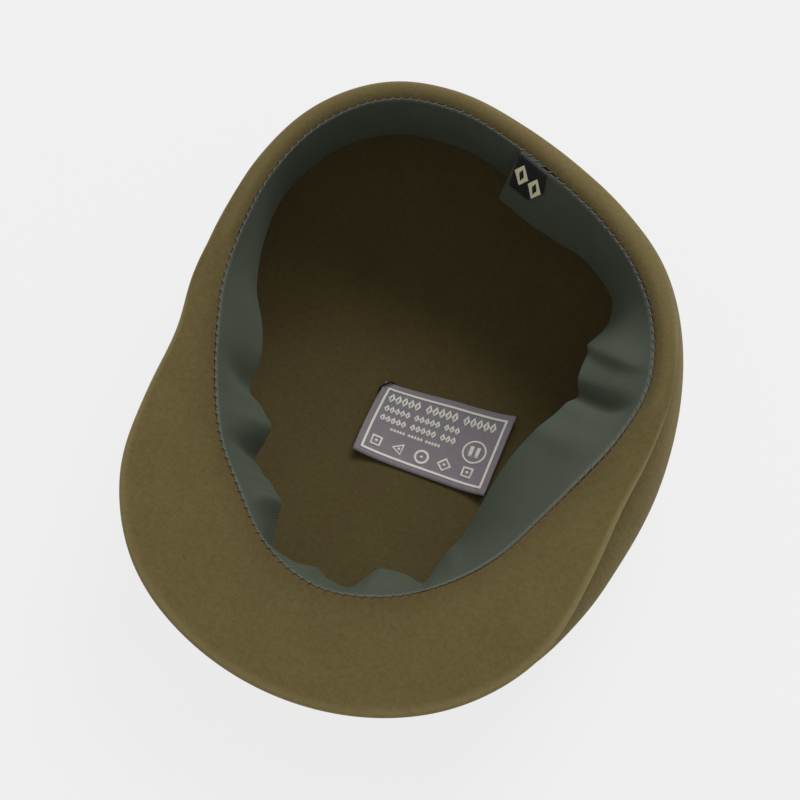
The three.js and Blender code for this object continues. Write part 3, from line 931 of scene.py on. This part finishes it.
def outline_on(form, centre, half, sides, line, turn=0.0):
    """A flat outline of a figure with this many sides, as wide as its line."""
    rings = []
    for inset in (0.0, line):
        ring = bmesh.ops.create_circle(form, cap_ends=False, radius=1.0, segments=sides)["verts"]
        bmesh.ops.rotate(form, verts=ring, cent=(0, 0, 0), matrix=Matrix.Rotation(turn, 3, "Z"))
        bmesh.ops.scale(form, verts=ring, vec=(half[0] - inset, half[1] - inset, 1.0))
        bmesh.ops.translate(form, verts=ring, vec=(*centre, 0.0))
        rings.append({e for v in ring for e in v.link_edges})
    bmesh.ops.bridge_loops(form, edges=[*rings[0], *rings[1]])


gold_form = bmesh.new()
for place in TAG_MARKS:
    outline_on(gold_form, place, TAG_MARK_HALF, 4, TAG_MARK_LINE)
bmesh.ops.subdivide_edges(gold_form, edges=gold_form.edges[:], cuts=3, use_grid_fill=True)
for vert in gold_form.verts:
    vert.co = tag_place(vert.co.x, vert.co.y, TAG_THICKNESS + TAG_MARK_RAISE)
bmesh.ops.recalc_face_normals(gold_form, faces=gold_form.faces)

gold_thread = thread_finish(
    "gold_thread",
    0.5,
    2200.0,
    (0.9, 0.8, 0.46, 1.0),
    (1.0, 0.96, 0.72, 1.0),
    (0.5, 0.00015),
)
gold_marks = finished_piece("size_tab_marks", gold_form, gold_thread)
give_thickness(gold_marks, MARK_THREAD)
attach(gold_marks, "root")


# The care label: a grey taffeta label, 58 by 36 mm, woven with cream thread and laid on
# the floor of the crown. Its writing is left off. Rows of small lozenges, a ring with two
# bars and a row of simple figures stand in its place, inside the same frame line.
LABEL_LENGTH = 0.058
LABEL_WIDTH = 0.036
LABEL_THICKNESS = 0.0005
LABEL_CENTRE = (0.009, -0.001)
LABEL_TURN = math.radians(4)
CLEARANCE = 0.0003
LABEL_CURL = 0.0035
LABEL_RIPPLE = 0.00025
LABEL_RIPPLE_SCALE = 90.0
CORNER_HELD = (0.0024, 0.0034)
CORNER_SPREAD = (0.0011, 0.0014)
LABEL_RAISE = 0.0001
MARKS_RAISE = 0.00022
PICK_PITCH = 0.0005
END_PITCH = 0.0006
LABEL_DARK = (0.25, 0.218, 0.238, 1.0)
LABEL_LIGHT = (0.34, 0.305, 0.33, 1.0)

LABEL_MARGIN = 0.0025
LABEL_LINE = 0.00092
LOZENGES_IN_GROUP = 5
LOZENGE_STEP = 0.96
GROUP_STEP = 1.7
RING_CENTRE = (0.0182, -0.0012)
RING_HALF = (0.0051, 0.0051)
RING_LINE = 0.0008
BAR_OFFSET = 0.0014
BAR_SIZE = (0.0016, 0.0048, 1.0)
FIGURE_HEIGHT = -0.0103
FIGURE_HALF = (0.0032, 0.0032)
FIGURE_LINE = 0.00105
DOT_RADIUS = 0.0007

# Each row of lozenges: its middle, a lozenge's height, width and line, and the row's ends.
LABEL_ROWS = [
    (0.0108, 0.0052, 0.0030, 0.0011, -0.0230, 0.0236),
    (0.0053, 0.0037, 0.0024, 0.00092, -0.0230, 0.0085),
    (0.0006, 0.0037, 0.0024, 0.00092, -0.0230, 0.0098),
    (-0.0034, 0.0019, 0.0014, 0.0006, -0.0175, 0.0055),
]

# Each figure: its middle, its number of sides and how far it is turned.
LABEL_FIGURES = [
    (-0.0215, 4, math.pi / 4),
    (-0.0115, 3, math.pi / 2),
    (-0.0015, 24, 0.0),
    (0.0085, 4, 0.0),
    (0.0185, 4, math.pi / 4),
]


def label_place(x, y, above):
    """A point of the label from its own two axes, curled up towards its short ends."""
    curl = LABEL_CURL * (2 * x / LABEL_LENGTH) ** 4
    waved = Vector((x * LABEL_RIPPLE_SCALE, y * LABEL_RIPPLE_SCALE, 3.0))
    ripple = LABEL_RIPPLE * noise.noise(waved)
    u, v = 0.5 + x / LABEL_LENGTH, 0.5 + y / LABEL_WIDTH
    held_in, spread = (1 - u) ** 2 * v**2, u * (1 - v)
    x += CORNER_HELD[0] * held_in - CORNER_SPREAD[0] * spread
    y -= CORNER_HELD[1] * held_in + CORNER_SPREAD[1] * spread
    return Vector((
        LABEL_CENTRE[0] + x * math.cos(LABEL_TURN) - y * math.sin(LABEL_TURN),
        LABEL_CENTRE[1] + x * math.sin(LABEL_TURN) + y * math.cos(LABEL_TURN),
        FELT + CLEARANCE + curl + ripple + above,
    ))


label_form = bmesh.new()
bmesh.ops.create_grid(label_form, x_segments=40, y_segments=24, size=0.5)
label_course = label_form.verts.layers.float_vector.new("label_course")
for vert in label_form.verts:
    x, y = vert.co.x * LABEL_LENGTH, vert.co.y * LABEL_WIDTH
    vert[label_course] = (x, y, 0.0)
    vert.co = label_place(x, y, LABEL_THICKNESS / 2 + LABEL_RAISE)
label_form.normal_update()

label_cloth, label_tree, label_shader = cloth_finish("grey_taffeta", 0.6, 0.12)
label_map = attribute_of(label_tree, "label_course", "Vector")
label_axes = add_node(label_tree, "ShaderNodeSeparateXYZ", inputs={0: label_map}).outputs
label_picks = woven_wave(label_tree, label_axes["Y"], PICK_PITCH)
label_ends = woven_wave(label_tree, label_axes["X"], END_PITCH)
label_weave = product(label_tree, label_picks, label_ends)
label_blur = noise_on(label_tree, label_map, 240.0, 4.0, 0.65)
label_shade = ranged(label_tree, label_weave, -1.0, 1.0, 0.85, 1.13)
label_ground = mixed(label_tree, label_blur, LABEL_DARK, LABEL_LIGHT)
label_colour = shaded(label_tree, label_ground, label_shade)
dye(label_tree, label_shader, label_colour, raised(label_tree, label_weave, 0.5, 0.00012))

label = finished_piece("woven_label", label_form, label_cloth)
give_thickness(label, LABEL_THICKNESS)
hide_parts("care_label")
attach(label, "root")

marks_form = bmesh.new()
corner = math.sqrt(2)
frame_half = ((LABEL_LENGTH / 2 - LABEL_MARGIN) * corner, (LABEL_WIDTH / 2 - LABEL_MARGIN) * corner)
outline_on(marks_form, (0.0, 0.0), frame_half, 4, LABEL_LINE * corner, math.pi / 4)
bmesh.ops.subdivide_edges(marks_form, edges=marks_form.edges[:], cuts=15, use_grid_fill=True)
for middle, height, width, line, left, right in LABEL_ROWS:
    x = left
    count = 0
    while x < right:
        count += 1
        outline_on(marks_form, (x, middle), (width / 2, height / 2), 4, line)
        x += width * (LOZENGE_STEP if count % LOZENGES_IN_GROUP else GROUP_STEP)
outline_on(marks_form, RING_CENTRE, RING_HALF, 32, RING_LINE)
for offset in (-BAR_OFFSET, BAR_OFFSET):
    bar = bmesh.ops.create_grid(marks_form, x_segments=1, y_segments=3, size=0.5)["verts"]
    bmesh.ops.scale(marks_form, verts=bar, vec=BAR_SIZE)
    bmesh.ops.translate(marks_form, verts=bar, vec=(RING_CENTRE[0] + offset, RING_CENTRE[1], 0.0))
for x, sides, turn in LABEL_FIGURES:
    outline_on(marks_form, (x, FIGURE_HEIGHT), FIGURE_HALF, sides, FIGURE_LINE, turn)
    dot = bmesh.ops.create_circle(marks_form, cap_ends=True, radius=DOT_RADIUS, segments=8)["verts"]
    bmesh.ops.translate(marks_form, verts=dot, vec=(x, FIGURE_HEIGHT, 0.0))
for vert in marks_form.verts:
    vert.co = label_place(vert.co.x, vert.co.y, LABEL_THICKNESS + MARKS_RAISE)
marks_form.normal_update()
for face in marks_form.faces:
    if face.normal.z < 0:
        face.normal_flip()

cream_thread = thread_finish(
    "cream_thread",
    0.6,
    1700.0,
    (0.82, 0.8, 0.68, 1.0),
    (1.0, 0.99, 0.9, 1.0),
    (0.4, 0.0001),
)
label_marks = finished_piece("woven_label_marks", marks_form, cream_thread)
give_thickness(label_marks, MARK_THREAD)
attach(label_marks, "root")


# The tack: one stitch of black two-ply thread over the label's upper left corner. It
# comes out of the felt beside the label and goes back in on its other side.
TACK_THREAD = 0.0009
TACK_SPAN = 0.0075
TACK_TURNS = 5
TACK_POINTS = 40
TACK_INSET = 0.17
TACK_POWER = 3.2
TACK_OVER = 0.9
TACK_FOOT = 0.3
PLY_OFFSET = 0.25
PLY_RADIUS = 0.27
PLY_SIDES = 8

tack_inset = TACK_SPAN * TACK_INSET
tack_corner = label_place(-LABEL_LENGTH / 2 + tack_inset, LABEL_WIDTH / 2 - tack_inset, LABEL_THICKNESS)
tack_across = Vector((1.0, 1.0, 0.0)).normalized() * TACK_SPAN / 2
tack_over = tack_corner.z + CLEARANCE + TACK_THREAD * TACK_OVER
tack_foot = FELT + TACK_THREAD * TACK_FOOT


def ply_places(ply, t):
    """The points round one ply, at t from -1 to 1 along the stitch."""
    middle = tack_corner + tack_across * t
    middle.z = tack_foot + (tack_over - tack_foot) * max(0.0, 1 - abs(t) ** TACK_POWER)
    fall = (tack_over - tack_foot) * TACK_POWER * math.copysign(abs(t) ** (TACK_POWER - 1), t)
    along = Vector((tack_across.x, tack_across.y, -fall)).normalized()
    side = along.cross(UP).normalized()
    up = side.cross(along)
    twist = ply + t * math.pi * TACK_TURNS
    middle += (side * math.cos(twist) + up * math.sin(twist)) * TACK_THREAD * PLY_OFFSET
    turned = Matrix((side, up, along)).transposed()
    places = []
    for k in range(PLY_SIDES):
        turn = 2 * math.pi * k / PLY_SIDES
        spot = Vector((math.cos(turn), math.sin(turn), 0.0)) * TACK_THREAD * PLY_RADIUS
        places.append(middle + turned @ spot)
    return places


tack_form = bmesh.new()
for ply in (0.0, math.pi):
    ring = bmesh.ops.create_circle(tack_form, cap_ends=True, radius=1.0, segments=PLY_SIDES)["verts"]
    for vert, place in zip(ring, ply_places(ply, -1.0)):
        vert.co = place
    for i in range(1, TACK_POINTS + 1):
        ring = drawn_on(tack_form, ring, ply_places(ply, i / TACK_POINTS * 2 - 1), closed=True)
    tack_form.faces.new(ring)
bmesh.ops.recalc_face_normals(tack_form, faces=tack_form.faces)

tack_thread = thread_finish(
    "black_thread",
    0.6,
    3000.0,
    (0.004, 0.004, 0.005, 1.0),
    (0.02, 0.018, 0.018, 1.0),
)
tack = finished_piece("label_tack_thread", tack_form, tack_thread)
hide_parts("label_tack")
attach(tack, "root")
